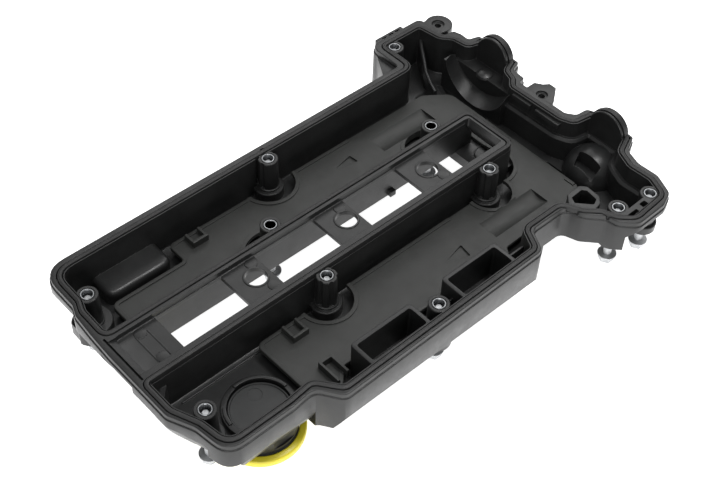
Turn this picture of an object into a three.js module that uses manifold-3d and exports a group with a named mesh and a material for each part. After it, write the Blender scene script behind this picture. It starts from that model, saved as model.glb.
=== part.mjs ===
// Valve cover of a four-cylinder twin-cam engine, lying inside-up.
// Millimetres, +Z up out of the open gasket side, X along the crankshaft.
import * as THREE from 'three';
import { mergeVertices } from 'three/addons/utils/BufferGeometryUtils.js';
import Module from 'manifold-3d';

const wasm = await Module();
wasm.setup();

// ---------------------------------------------------------------- driving dimensions

const FLOOR_OUT = -37;        // outside face of the cover roof
const FLOOR_IN = -34.2;       // inside face of the cover roof
const LEDGE_Z = -4.2;         // step on the outer wall below the sealing band
const LEDGE_OUT = 0.8;        // how far the lower wall stands out of the band
const BEAD = 1.55;            // half width of the rubber bead
const GROOVE = 1.95;          // half width of the bead groove
const GROOVE_Z = -3.4;        // bottom of the bead groove
const BEAD_TOP = 1.0;         // rubber standing proud of the sealing face
const LAND = 2.9;             // bead centre line to the inside wall face
const DECK_TOP = -4;          // plug valley deck, inside face
const DECK_BOTTOM = -7;       // plug valley deck, outside face
const SEAT_Z = -30.5;         // seat of the bolt heads and foot of the sleeves
const BOSS_R = 7.4;
const CUP_R = 11;
const CORNER_CUP_R = 13.6;
const CUP_Z = -26.5;
const SEAT_R = 8.4;
const SLEEVE_R = 4.6;
const SLEEVE_BORE_R = 3.6;
const BOLT_R = 3;
const BOLT_DROP = 15.5;       // free travel of a captive bolt
const BOLT_LENGTH = 42.5;
const BOLT_HEAD_R = 7;
const BAFFLE_TOP = -25.4;
const BAFFLE_BOTTOM = -27.6;
const CAM_Y = [79, -34.5];    // camshaft axes
const CAM_TROUGHS = [80.5, -34.5];
const MOON_R = 15.4;          // half-moon plugs at the chain end
const MOON_Z = -2.6;
const CAP_X = 49.2;           // oil filler axis
const CAP_Y = -43.1;
const ORIGIN = new THREE.Vector3(191.6, 19.53, -61);

const SLEEVES = [
  { name: 'a', x: 176.2, y: 101.8 },
  { name: 'b', x: 8.9, y: 80.1 },
  { name: 'c', x: 136.3, y: 51 },
  { name: 'd', x: 288.4, y: 51 },
  { name: 'e', x: 288.5, y: -7.9 },
  { name: 'f', x: 135.2, y: -7.9 },
  { name: 'g', x: 173.9, y: -73 },
  { name: 'h', x: 11.1, y: -39.8 },
  { name: 'j', x: 328.8, y: -92.9 },
  { name: 'k', x: 356.5, y: -98.6 },
  { name: 'l', x: 330.6, y: 134.4 },
];

// Centre line of the rubber bead: corner x, corner y, corner radius,
// distance to the inside wall face along the stretch that starts there.
const SEAL = [
  [2.0, 109.2, 14],
  [323.3, 109.2, 8],
  [323.3, 141.2, 5.5],
  [363.5, 141.2, 5],
  [366.2, 120.5, 7],
  [373.6, 112, 6],
  [375.2, 98.5, 7],
  [386.6, 95.4, 2, 4.6],
  [386.6, 61.8, 2],
  [376.3, 57.5, 7],
  [373, 48, 6],
  [366.4, 42, 5],
  [367.4, -5, 12],
  [371.5, -15, 7],
  [388.2, -17.6, 2, 4],
  [388.2, -51.6, 2],
  [373.5, -58, 8],
  [367.6, -72, 10],
  [368.6, -90, 10],
  [362, -106, 9],
  [330, -108, 10],
  [320.5, -99, 8],
  [316, -88, 8],
  [307.8, -80, 9],
  [300, -64.8, 9],
  [265, -64.6, 8],
  [256.6, -81.6, 7],
  [84, -83.4, 7],
  [71.5, -66.9, 8],
  [52, -68.7, 10],
  [6, -68.7, 12],
  [2.6, -46, 16],
  [-5.2, -27, 12],
  [-5.2, -0.8, 5, 2],
  [319.4, -0.8, 6, 2.4],
  [319.4, 44.1, 6, 2],
  [-2.4, 44.1, 7],
  [-1.8, 70, 8],
  [1.6, 79, 10],
];

// Outer edge of the sealing band.
const RIM = [
  [-2.8, 115.6, 19],
  [316.8, 115.6, 3.5],
  [316.8, 147.3, 9.5],
  [370.2, 147.3, 6],
  [370.2, 119.6, 4],
  [379.8, 118.6, 2.5],
  [381.8, 112, 5],
  [381.4, 103.8, 3],
  [390.9, 101, 2.5],
  [390.9, 58.6, 2.5],
  [381.6, 55.6, 4],
  [380.3, 43.4, 1],
  [374.2, 42, 3],
  [374.2, -3.6, 6],
  [379.3, -10.6, 5],
  [389.8, -11.4, 5],
  [392.4, -17.5, 2],
  [392.4, -54, 3],
  [378.6, -60.5, 8],
  [373.9, -74, 12],
  [374.6, -91, 12],
  [367.2, -107.6, 8],
  [355, -112.4, 8],
  [328, -112.8, 9],
  [317.8, -102.6, 8],
  [316.2, -93.4, 7],
  [305.6, -82, 9],
  [301, -68.6, 8],
  [268, -68.4, 8],
  [258.8, -85.6, 7],
  [80.6, -87.8, 8],
  [69.4, -71, 9],
  [52, -72.9, 10],
  [2.2, -72.9, 14],
  [-1.2, -46, 18],
  [-9.2, -28, 10],
  [-9.2, 30, 30],
  [-8.2, 52, 20],
  [-6.8, 70, 8],
  [-3.4, 78.5, 8],
];

const SLOT = { x0: 1.4, x1: 315.6, y0: 5.6, y1: 39.5 };
const WINDOWS = [[31.5, 84], [112, 163.5], [190.5, 240], [268, 315.6]];
const PLUG_HOLES = [[101.4, 23.4, 7.6], [180.8, 23.5, 7.6], [257.4, 22.6, 7.6]];

// ---------------------------------------------------------------- outlines and solids

// Moves every stretch of a closed outline sideways and rounds its corners again.
function outline(corners, move = 0, useOwn = false) {
  const n = corners.length;
  let area = 0;
  for (let i = 0; i < n; i++) {
    const [ax, ay] = corners[i];
    const [bx, by] = corners[(i + 1) % n];
    area += ax * by - bx * ay;
  }
  const side = Math.sign(area);
  const lines = corners.map(([x, y, , own], i) => {
    const [bx, by] = corners[(i + 1) % n];
    const d = new THREE.Vector2(bx - x, by - y).normalize();
    const shift = useOwn && own ? Math.sign(move) * own : move;
    const p = new THREE.Vector2(x + d.y * side * shift, y - d.x * side * shift);
    return { p, d };
  });
  const moved = lines.map((b, i) => {
    const a = lines[(i + n - 1) % n];
    const cross = a.d.x * b.d.y - a.d.y * b.d.x;
    if (Math.abs(cross) < 1e-3) return { v: b.p.clone(), r: 0.4 };
    const t = ((b.p.x - a.p.x) * b.d.y - (b.p.y - a.p.y) * b.d.x) / cross;
    const r = corners[i][2] + Math.sign(cross) * side * move;
    return { v: a.p.clone().addScaledVector(a.d, t), r: Math.max(r, 0.8) };
  });
  const shape = new THREE.Shape();
  moved.forEach(({ v, r }, i) => {
    const before = moved[(i + n - 1) % n].v;
    const after = moved[(i + 1) % n].v;
    const din = before.clone().sub(v);
    const dout = after.clone().sub(v);
    const lin = din.length();
    const lout = dout.length();
    din.normalize();
    dout.normalize();
    const half = Math.acos(THREE.MathUtils.clamp(din.dot(dout), -1, 1)) / 2;
    const cut = Math.min(r / Math.tan(half), lin * 0.48, lout * 0.48);
    const p = v.clone().addScaledVector(din, cut);
    const q = v.clone().addScaledVector(dout, cut);
    if (i === 0) shape.moveTo(p.x, p.y);
    else shape.lineTo(p.x, p.y);
    shape.quadraticCurveTo(v.x, v.y, q.x, q.y);
  });
  shape.closePath();
  return shape;
}

function toSolid(geometry) {
  geometry.deleteAttribute('normal');
  geometry.deleteAttribute('uv');
  const merged = mergeVertices(geometry, 1e-4);
  const vertProperties = new Float32Array(merged.attributes.position.array);
  const triVerts = new Uint32Array(merged.index.array);
  return new wasm.Manifold(new wasm.Mesh({ numProp: 3, vertProperties, triVerts }));
}

function toGeometry(solid) {
  const mesh = solid.getMesh();
  const geometry = new THREE.BufferGeometry();
  geometry.setAttribute('position', new THREE.BufferAttribute(mesh.vertProperties, 3));
  geometry.setIndex(new THREE.BufferAttribute(mesh.triVerts, 1));
  return geometry;
}

const unite = (first, ...rest) => rest.reduce((sum, s) => sum.add(s), first);
const cut = (first, ...rest) => rest.reduce((left, s) => left.subtract(s), first);

function prism(shape, z0, z1, curveSegments = 2) {
  const geometry = new THREE.ExtrudeGeometry(shape, {
    depth: z1 - z0, bevelEnabled: false, curveSegments,
  });
  return toSolid(geometry.translate(0, 0, z0));
}

function box(x0, x1, y0, y1, z0, z1) {
  const geometry = new THREE.BoxGeometry(x1 - x0, y1 - y0, z1 - z0);
  return toSolid(geometry.translate((x0 + x1) / 2, (y0 + y1) / 2, (z0 + z1) / 2));
}

function post(x, y, r, z0, z1, sides = 14) {
  const geometry = new THREE.CylinderGeometry(r, r, z1 - z0, sides);
  return toSolid(geometry.rotateX(Math.PI / 2).translate(x, y, (z0 + z1) / 2));
}

function barrel(x0, x1, y, z, r, sides = 28) {
  const geometry = new THREE.CylinderGeometry(r, r, x1 - x0, sides);
  return toSolid(geometry.rotateZ(-Math.PI / 2).translate((x0 + x1) / 2, y, z));
}

function polygon(points) {
  return new THREE.Shape(points.map(([x, y]) => new THREE.Vector2(x, y)));
}

// A wedge with its profile in the YZ plane, swept along X, then turned about Z and placed.
function sweepX(points, x0, x1, angle = 0, [atX, atY] = [0, 0]) {
  const geometry = new THREE.ExtrudeGeometry(polygon(points), {
    depth: x1 - x0, bevelEnabled: false,
  });
  geometry.rotateX(Math.PI / 2).rotateZ(Math.PI / 2).translate(x0, 0, 0);
  return toSolid(geometry.rotateZ(angle).translate(atX, atY, 0));
}

// The same with the profile in the XZ plane, swept along Y.
function sweepY(points, y0, y1) {
  const geometry = new THREE.ExtrudeGeometry(polygon(points), {
    depth: y1 - y0, bevelEnabled: false,
  });
  return toSolid(geometry.rotateX(Math.PI / 2).translate(0, y1, 0));
}

const finish = (color, roughness, metalness) =>
  new THREE.MeshStandardMaterial({ color, roughness, metalness });

const group = new THREE.Group();
group.name = 'valve_cover';

function add(name, geometry, material) {
  geometry.translate(-ORIGIN.x, -ORIGIN.y, -ORIGIN.z);
  const mesh = new THREE.Mesh(geometry, material);
  mesh.name = name;
  group.add(mesh);
}

// ---------------------------------------------------------------- cover shell

// Leaning lower parts of the outer walls, `inset` mm in from the outer skin.
function lowerEdges(inset) {
  const i = inset;
  const low = FLOOR_OUT - 4;
  const step = inset ? 3 : 0;
  return [
    sweepX([[117 - i, -20], [130, -20], [130, low], [104.4 - i, low]], -30, 318),
    sweepX([[-88.9 + i, -22], [-100, -22], [-100, low], [-79.7 + i, low]], 60, 262),
    sweepX([[-74.6 + i, -17], [-84, -17], [-84, low], [-64.6 + i, low]], -20, 69),
    sweepX([[-115 + i, -6], [-140, -6], [-140, low], [-78 + i, low]], 322, 400),
    sweepY([[-5 + i, -6], [-30, -6], [-30, low], [7.5 + i, low]], 76, 130),
    sweepY([[-10.6 + i, -6], [-30, -6], [-30, low], [2.5 + i, low]], 36, 76.1),
    sweepY([[-10.6 + i, -10], [-30, -10], [-30, low], [1.6 + i, low]], -100, 10),
    sweepX([[i, -20], [-20, -20], [-20, low], [11.4 + i, low]], -30, 30, -1.179, [4.2, -57.4]),
    sweepX([[i, -12], [-20, -12], [-20, low], [12.5 + i, low]], -30, 20, -1.24, [-5.9, -37]),
    sweepX([[i, -12], [-20, -12], [-20, low], [i, low]], -10, 14, -2.356, [0, -7.6]),
    box(283 - step, 322.5, -120, -64 + step, FLOOR_OUT - 4, -27 + step),
  ];
}

function shellBody() {
  const band = prism(outline(RIM), LEDGE_Z - 0.5, 0);
  const skirt = prism(outline(RIM, LEDGE_OUT), FLOOR_OUT, LEDGE_Z);
  const wedge = prism(polygon([[300, 112], [320, 146], [320, 112]]), FLOOR_OUT + 10, LEDGE_Z);
  const lip = prism(polygon([[322, 146], [327, 152.6], [354, 152.6], [354, 146]]), -9, LEDGE_Z);
  const domes = CAM_Y.map((y) => barrel(325, 358, y, 0, 47.6));
  const dome = cut(unite(...domes), box(300, 400, -140, 160, -20, 60));
  const neck = post(CAP_X, CAP_Y, 24.6, -45, FLOOR_IN, 40);
  return cut(unite(band, skirt, wedge, lip, dome, neck), ...lowerEdges(0));
}

function shellCavity() {
  const room = prism(outline(SEAL, -LAND, true), FLOOR_IN, 2);
  const domes = CAM_Y.map((y) => barrel(327.6, 355.4, y, 0, 44.8));
  const dome = cut(unite(...domes), box(300, 400, -140, 160, -19, 60));
  return unite(cut(room, ...lowerEdges(3)), dome);
}

// Plug valley: open below and at the left end, a thin deck across its top.
function valley() {
  const channel = sweepY([[SLOT.x1, DECK_BOTTOM], [SLOT.x1, -8], [328, -28.7], [305, -28.7],
    [305, -42], [-30, -42], [-30, DECK_BOTTOM]], SLOT.y0, SLOT.y1);
  const flare = sweepX([[SLOT.y0 - 7.8, -37.2], [SLOT.y0, -29.2], [SLOT.y1, -29.2],
    [SLOT.y1 + 7.8, -37.2], [SLOT.y1 + 7.8, -42], [SLOT.y0 - 7.8, -42]], -30, 305);
  const recess = box(SLOT.x0, SLOT.x1, SLOT.y0, SLOT.y1, DECK_TOP, 2);
  const windows = WINDOWS.map(([a, b]) => box(a, b, SLOT.y0 + 0.4, SLOT.y1 - 0.4, -9, 2));
  const holes = PLUG_HOLES.map(([x, y, r]) => post(x, y, r, -9, 2, 20));
  return unite(channel, flare, recess, ...windows, ...holes);
}

function halfMoons() {
  const moons = [barrel(382, 390.9, CAM_Y[0], MOON_Z, MOON_R),
    barrel(384.2, 392.4, CAM_Y[1], MOON_Z, MOON_R)];
  return unite(...moons);
}

function moonGroove(r0, r1, half, sides) {
  return unite(...[[386.6, CAM_Y[0]], [388.2, CAM_Y[1]]].map(([x, y]) => cut(
    barrel(x - half, x + half, y, MOON_Z, r1, sides),
    barrel(x - half - 1, x + half + 1, y, MOON_Z, r0, sides),
  )));
}

// Stepped end wall with the cam phaser clearance, ribs and the near pocket.
function chainEnd() {
  const horns = box(355.6, 390, 41.6, 105, FLOOR_IN - 1, -7);
  const saddle = cut(horns, box(369.5, 392, 44, 106, -13.5, 2),
    barrel(350, 369.5, 73, 3, 33, 40));
  const knob = post(373.4, 76, 6, -14.5, -11.4, 12);
  const wall = outline(SEAL, -LAND - 4);
  const shelf = cut(prism(outline(RIM, -0.4), FLOOR_IN - 1, -13.6), prism(wall, -60, 0))
    .intersect(box(345, 400, -96, 46, -60, 20));
  const ledges = unite(box(361.6, 368, 20, 38, -6, -2.4), box(361.6, 368, -8, 15, -6, -2.6));
  const ribPath = prism(polygon([[363.3, 136.2], [360.7, 137.8], [343.7, 113.3], [337.9, 95.6],
    [340.7, 94.6], [346.3, 111.7]]), -60, 0);
  const rib = sweepY([[330, FLOOR_IN - 1], [330, -25], [338, -25], [345, -18], [357, -11],
    [362, -9.5], [366, -9.5], [366, FLOOR_IN - 1]], 88, 140).intersect(ribPath);
  const bulge = toSolid(latheAt([[0, FLOOR_IN - 1], [21.5, FLOOR_IN - 1], [21.5, -34],
    [20.8, -28.4], [18.6, -23.2], [15.2, -18.8], [10.7, -15.4], [5.6, -13.2], [0, -12.5]],
  372, -38, 28));
  const pocket = prism(polygon([[355.6, -50], [365.4, -50], [365.4, -28.8], [355.6, -32.6]]),
    -25.5, 0);
  const sill = box(303, 336, 2, 43, FLOOR_IN - 2.8, -28.2);
  return unite(saddle, knob, shelf, ledges, rib, cut(bulge, pocket), sill);
}

function bosses() {
  const solids = [];
  for (const { name, x, y } of SLEEVES) {
    const low = name === 'j' || name === 'k' ? -33 : SEAT_Z - 0.6;
    solids.push(post(x, y, BOSS_R, low, -0.2));
    const cup = name === 'b' ? CORNER_CUP_R : CUP_R;
    if ('abefgh'.includes(name)) solids.push(post(x, y, cup, FLOOR_OUT, CUP_Z, 18));
    else solids.push(post(x, y, SEAT_R + 1.4, low, CUP_Z, 16));
  }
  return unite(...solids);
}

function boltBores() {
  const solids = [];
  for (const { x, y } of SLEEVES) {
    solids.push(post(x, y, SLEEVE_R + 0.3, -60, 3, 12));
    solids.push(post(x, y, SEAT_R, -60, SEAT_Z, 14));
  }
  return unite(...solids);
}

// Rectangular wells, cells, ribs and the hexagon tube along the near wall.
function nearWallWells() {
  const walls = unite(
    box(109.6, 161.8, -80, -58.6, FLOOR_IN - 1, -3),
    box(191, 241.6, -80, -57.4, FLOOR_IN - 1, -3),
    box(241, 258, -71, -69, FLOOR_IN - 1, -8),
    box(161, 171, -70, -68, FLOOR_IN - 1, -12),
    box(177, 192, -70, -68, FLOOR_IN - 1, -12),
  );
  const tube = prism(polygon([[305, -68.6], [311.5, -61.7], [323.5, -61.1], [327.8, -65.8],
    [327, -77], [321.9, -82.4], [313, -84]]), -27, -0.2);
  const land = prism(polygon([[318, -96], [322, -98.6], [362, -97.6], [364, -107],
    [320, -109]]), -14, -0.2);
  return unite(walls, tube, land);
}

function nearWallPockets() {
  return unite(
    box(112.6, 158.8, -77.6, -61.6, -31, 2),
    box(194, 238.6, -77.6, -60.4, -31, 2),
    prism(polygon([[311.2, -65.8], [322, -65.2], [324.2, -68.3], [322.9, -77.8],
      [317.9, -80], [308.9, -70.3]]), -24, 2),
    box(324, 337, -105, -102.4, -9, 2),
    box(342, 347.6, -104.4, -100.8, -9, 2),
  );
}

function ears() {
  const upper = unite(post(377.4, 132.8, 11, -8, 0, 28), box(368, 378, 123, 142.6, -8, 0));
  const lower = prism(polygon([[371, 8], [378, 10.6], [390.4, 19.6], [390.4, 26],
    [386, 29], [382, 34.6], [371, 34.6]]), -8, 0);
  return unite(upper, lower);
}

function earCuts() {
  return unite(
    post(376.6, 132.8, 2.8, -9, 1, 16),
    post(376.6, 132.8, 5.2, -1.6, 1, 20),
    post(376.4, 21.4, 2.8, -9, 1, 16),
    post(376.4, 21.4, 4.6, -1.6, 1, 20),
    post(379.6, 38.8, 4.4, -50, 1, 20),
  );
}

function fillerOpening() {
  const hole = post(CAP_X, CAP_Y, 20.9, -60, -28, 40);
  const ring = cut(post(CAP_X, CAP_Y, 24.6, FLOOR_IN - 1, -30, 40), hole);
  return { hole, ring };
}

function grooveSolid() {
  const groove = cut(
    prism(outline(SEAL, GROOVE), GROOVE_Z, 2),
    prism(outline(SEAL, -GROOVE), GROOVE_Z - 1, 3),
  );
  const moons = CAM_Y.map((y) => barrel(380, 394, y, MOON_Z, MOON_R + 0.01));
  return unite(cut(groove, ...moons), moonGroove(MOON_R - 2.2, MOON_R + 4, GROOVE, 28));
}

function coverShell() {
  const { hole, ring } = fillerOpening();
  const hump = prism(outline([[27, 85, 9], [79, 85, 9], [79, 116, 3], [27, 116, 3]]),
    FLOOR_IN - 1, -22.4);
  const inside = unite(chainEnd(), nearWallWells(), bosses(), ring, hump);
  const room = prism(outline(RIM, -0.4), -60, 0);
  const body = unite(cut(shellBody(), shellCavity()), inside.intersect(room),
    halfMoons(), ears());
  return cut(body, valley(), grooveSolid(), boltBores(), nearWallPockets(), earCuts(), hole);
}

// ---------------------------------------------------------------- seal and baffle

function perimeterGasket() {
  const flat = cut(
    prism(outline(SEAL, BEAD), GROOVE_Z + 0.3, BEAD_TOP),
    prism(outline(SEAL, -BEAD), GROOVE_Z - 1, 3),
    ...CAM_Y.map((y) => barrel(380, 394, y, MOON_Z, MOON_R + 0.4)),
  );
  const arcs = cut(moonGroove(MOON_R - 1.9, MOON_R + 1, BEAD, 28),
    box(380, 396, -60, 100, -30, GROOVE_Z + 0.3));
  return unite(flat, arcs);
}

function bafflePlate() {
  const plate = outline([
    [24.6, 81.6, 6], [84.6, 81.6, 3], [84.6, 99.7, 5], [328.4, 99.4, 6], [347, 85.6, 8],
    [346.4, -44, 4], [342, -52, 2], [262, -54, 3], [258, -60, 3], [246, -60, 2],
    [246, -56.6, 1], [108, -56.6, 1], [90, -74.6, 4], [84, -74.6, 3], [76, -52, 6],
    [75.4, -6.9, 6], [324.4, -7.6, 18], [324.4, 48.4, 3], [24.6, 48.4, 2],
  ]);
  const holes = [
    post(176.2, 101.8, 19.4, -40, 0, 28),
    post(135.2, -7.9, 18.6, -40, 0, 28),
    post(291, -9.4, 16.3, -40, 0, 28),
    post(310.6, 10.8, 18.7, -40, 0, 28),
    post(136.9, 46.2, 22, -40, 0, 28),
    post(291.8, 52.1, 19.6, -40, 0, 28),
  ];
  const troughs = CAM_TROUGHS.map((y) => barrel(263, 317, y, BAFFLE_TOP + 10.4, 13.4));
  const backs = CAM_TROUGHS.map((y) => box(261, 319, y - 10, y + 10, -30.6, BAFFLE_BOTTOM + 0.4));
  const slope = sweepY([[216, BAFFLE_TOP], [241, BAFFLE_TOP - 1.5], [241, 0], [216, 0]], -60, 100);
  const ramps = [[[218.2, -36.4], [238.8, -31.6], [237, -42.9]],
    [[221.7, 81.6], [240.1, 85.3], [241, 77.1]]]
    .map((points) => prism(polygon(points), -40, 0).intersect(slope));
  const raised = unite(
    box(97, 110, 88, 90.4, BAFFLE_TOP - 0.4, -20.6),
    box(95.4, 108, -20.6, -18.2, BAFFLE_TOP - 0.4, -20.6),
    box(94, 96.2, -64, -47, BAFFLE_TOP - 0.4, -19.6),
    box(103.4, 105.6, -61, -47, BAFFLE_TOP - 0.4, -19.6),
    box(94, 105.6, -49, -46.8, BAFFLE_TOP - 0.4, -19.6),
  );
  const flat = unite(prism(plate, BAFFLE_BOTTOM, BAFFLE_TOP), ...backs);
  return unite(cut(flat, ...holes, ...troughs, ...ramps), raised);
}

// ---------------------------------------------------------------- sleeves, bolts, filler cap

function latheAt(points, x, y, segments) {
  const profile = points.map(([r, z]) => new THREE.Vector2(r, z));
  const geometry = new THREE.LatheGeometry(profile, segments);
  return geometry.rotateX(Math.PI / 2).translate(x, y, 0);
}

function sleeve(x, y) {
  const profile = [[SLEEVE_BORE_R, SEAT_Z], [SLEEVE_R, SEAT_Z], [SLEEVE_R, -0.1],
    [SLEEVE_BORE_R, -0.1], [SLEEVE_BORE_R, SEAT_Z]];
  return latheAt(profile, x, y, 12);
}

function bolt(x, y) {
  const top = SEAT_Z - BOLT_DROP;
  const tip = top + BOLT_LENGTH;
  const shank = latheAt([[0, top - 1], [BOLT_R, top - 1], [BOLT_R, tip - 1],
    [BOLT_R - 1, tip], [0, tip]], x, y, 10);
  const flange = latheAt([[0, top - 2.2], [6, top - 2.2], [BOLT_HEAD_R, top - 1.2],
    [BOLT_HEAD_R, top - 0.6], [4.6, top], [0, top]], x, y, 14);
  const hex = post(x, y, 5.6, top - 7, top - 1.6, 6);
  return toGeometry(unite(toSolid(shank), toSolid(flange), hex));
}

function capBody() {
  const plug = latheAt([[0, -47], [20.4, -47], [20.4, -31.4], [19, -31.4], [18.2, -32.2],
    [0, -32.2]], CAP_X, CAP_Y, 36);
  const lid = latheAt([[0, -54], [24.6, -54], [24.6, -47.4], [20.2, -46.6], [0, -46.6]],
    CAP_X, CAP_Y, 36);
  const grip = box(CAP_X - 18, CAP_X + 18, CAP_Y - 4, CAP_Y + 4, -61, -53);
  return toGeometry(unite(toSolid(plug), toSolid(lid), grip));
}

function capRing() {
  return latheAt([[24.9, -53.6], [29, -53.6], [29.6, -52.6], [29.6, -48.8], [28.6, -47.2],
    [24.9, -47.2], [24.9, -53.6]], CAP_X, CAP_Y, 44);
}

function capSeal() {
  return latheAt([[21.2, -46.6], [24.3, -46.6], [24.3, -45.3], [21.2, -45.3],
    [21.2, -46.6]], CAP_X, CAP_Y, 36);
}

// ---------------------------------------------------------------- assembly

add('cover_shell', toGeometry(coverShell()), finish(0x2b2c2d, 0.6, 0));
add('perimeter_gasket', toGeometry(perimeterGasket()), finish(0x161617, 0.85, 0));
add('baffle_plate', toGeometry(bafflePlate()), finish(0x3b3c3a, 0.7, 0));
for (const { name, x, y } of SLEEVES) {
  add(`bolt_sleeve_${name}`, sleeve(x, y), finish(0xa9acae, 0.35, 1));
  add(`captive_bolt_${name}`, bolt(x, y), finish(0x9c9fa2, 0.4, 1));
}
add('filler_cap_body', capBody(), finish(0x202122, 0.6, 0));
add('filler_cap_ring', capRing(), finish(0xe0cc2b, 0.45, 0));
add('filler_cap_seal', capSeal(), finish(0x131313, 0.8, 0));

export default group;
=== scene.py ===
"""Looks of a plastic engine valve cover, lying inside-up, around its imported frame."""
import math

import bmesh
import bpy
from mathutils import Matrix, Vector


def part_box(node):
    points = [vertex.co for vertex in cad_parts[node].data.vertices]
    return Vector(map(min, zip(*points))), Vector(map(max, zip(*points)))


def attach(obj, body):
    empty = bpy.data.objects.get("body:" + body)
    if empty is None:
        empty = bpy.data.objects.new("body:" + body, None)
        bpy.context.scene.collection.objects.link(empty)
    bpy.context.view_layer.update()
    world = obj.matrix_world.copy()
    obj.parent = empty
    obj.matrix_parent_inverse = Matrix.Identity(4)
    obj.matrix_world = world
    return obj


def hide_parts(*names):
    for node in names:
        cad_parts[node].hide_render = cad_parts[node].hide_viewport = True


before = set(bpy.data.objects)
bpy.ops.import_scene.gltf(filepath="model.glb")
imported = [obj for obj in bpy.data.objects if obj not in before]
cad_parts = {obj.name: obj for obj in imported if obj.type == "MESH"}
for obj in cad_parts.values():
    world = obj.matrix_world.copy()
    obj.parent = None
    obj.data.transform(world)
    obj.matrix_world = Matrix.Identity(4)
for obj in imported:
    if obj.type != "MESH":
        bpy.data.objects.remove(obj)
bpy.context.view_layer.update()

# ------------------------------------------------------------------ drawing frame
# Lengths below are in millimetres. X runs along the engine, Y across it, and Z = 0 is
# the sealing face. The datum is the sleeve of bolt g.

sleeve_lo, sleeve_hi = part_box("bolt_sleeve_g")
DATUM = Vector((
    (sleeve_lo.x + sleeve_hi.x) / 2 - 0.1739,
    (sleeve_lo.y + sleeve_hi.y) / 2 + 0.0730,
    sleeve_hi.z + 0.0001,
))


def node_centre(name):
    """Drawing-frame centre of a CAD node, in millimetres."""
    lo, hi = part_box(name)
    mid = (lo + hi) / 2 - DATUM
    return mid.x * 1000, mid.y * 1000


FLOOR_OUT = -37               # outside face of the cover roof
FLOOR_IN = -34.2              # inside face of the cover roof
WALL = 3                      # thickness of the leaning lower walls
LEDGE_Z = -4.2                # step below the sealing band
GROOVE = 2.15                 # half width of the bead groove
GROOVE_Z = -3.4               # bottom of the bead groove
LAND = 2.9                    # bead centre line to the inside wall face
SLOT_X = (1.4, 315.6)         # plug valley, along the engine
SLOT_Y = (5.6, 39.5)          # plug valley, across it
DECK_TOP = -4
DECK_BOTTOM = -7
WINDOWS = ((31.5, 84), (112, 163.5), (190.5, 240), (268, SLOT_X[1]))
PLUG_HOLES = ((101.4, 23.4), (180.8, 23.5), (257.4, 22.6))
PLUG_HOLE_R = 7.6
SEAT_Z = -30.5                # seat of the bolt heads and foot of the sleeves
BOSS_R = 7.3
CUP_Z = -26.5                 # top of the wide cup at the foot of a boss
BOLT_DROP = 15.5              # travel of a captive bolt below its seat
BOLT_LENGTH = 42.5
BAFFLE_TOP = -25.4
BAFFLE_BOTTOM = -27.6
CAM_Y = (79, -34.5)           # camshaft axes
MOON_R = 15.4                 # half-moon plugs at the chain end
MOON_Z = -2.6
FILLER_R = 20.9
COLLAR_R = 24.6
CAP = node_centre("filler_cap_body")
BOLTS = {n: node_centre("bolt_sleeve_" + n) for n in "abcdefghjkl"}

# Bead centre line: corner x, corner y, corner radius, own distance to the inside wall.
SEAL = [
    (2.0, 109.2, 14), (323.3, 109.2, 8), (323.3, 141.2, 5.5), (363.5, 141.2, 5),
    (366.2, 120.5, 7), (373.6, 112, 6), (375.2, 98.5, 7), (386.6, 95.4, 2, 4.6),
    (386.6, 61.8, 2), (376.3, 57.5, 7), (373, 48, 6), (366.4, 42, 5), (367.4, -5, 12),
    (371.5, -15, 7), (388.2, -17.6, 2, 4), (388.2, -51.6, 2), (373.5, -58, 8),
    (367.6, -72, 10), (368.6, -90, 10), (362, -106, 9), (330, -108, 10),
    (320.5, -99, 8), (316, -88, 8), (307.8, -80, 9), (300, -64.8, 9), (265, -64.6, 8),
    (256.6, -81.6, 7), (84, -83.4, 7), (71.5, -66.9, 8), (52, -68.7, 10), (6, -68.7, 12),
    (2.6, -46, 16), (-5.2, -27, 12), (-5.2, -0.8, 5, 2), (319.4, -0.8, 6, 2.4),
    (319.4, 44.1, 6, 2), (-2.4, 44.1, 7), (-1.8, 70, 8), (1.6, 79, 10),
]

# Outer edge of the sealing band.
RIM = [
    (-2.8, 115.6, 19), (316.8, 115.6, 3.5), (316.8, 147.3, 9.5), (370.2, 147.3, 6),
    (370.2, 119.6, 4), (379.8, 118.6, 2.5), (381.8, 112, 5), (381.4, 103.8, 3),
    (390.9, 101, 2.5), (390.9, 58.6, 2.5), (381.6, 55.6, 4), (380.3, 43.4, 1),
    (374.2, 42, 3), (374.2, -3.6, 6), (379.3, -10.6, 5), (389.8, -11.4, 5),
    (392.4, -17.5, 2), (392.4, -54, 3), (378.6, -60.5, 8), (373.9, -74, 12),
    (374.6, -91, 12), (367.2, -107.6, 8), (355, -112.4, 8), (328, -112.8, 9),
    (317.8, -102.6, 8), (316.2, -93.4, 7), (305.6, -82, 9), (301, -68.6, 8),
    (268, -68.4, 8), (258.8, -85.6, 7), (80.6, -87.8, 8), (69.4, -71, 9), (52, -72.9, 10),
    (2.2, -72.9, 14), (-1.2, -46, 18), (-9.2, -28, 10), (-9.2, 30, 30), (-8.2, 52, 20),
    (-6.8, 70, 8), (-3.4, 78.5, 8),
]

# ------------------------------------------------------------------ outlines and solids


def turn(values):
    """1 for a list of points that runs anticlockwise, -1 for clockwise."""
    area = 0
    for a, b in zip(values, values[1:] + values[:1]):
        area += a[0] * b[1] - b[0] * a[1]
    return 1 if area > 0 else -1


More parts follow.
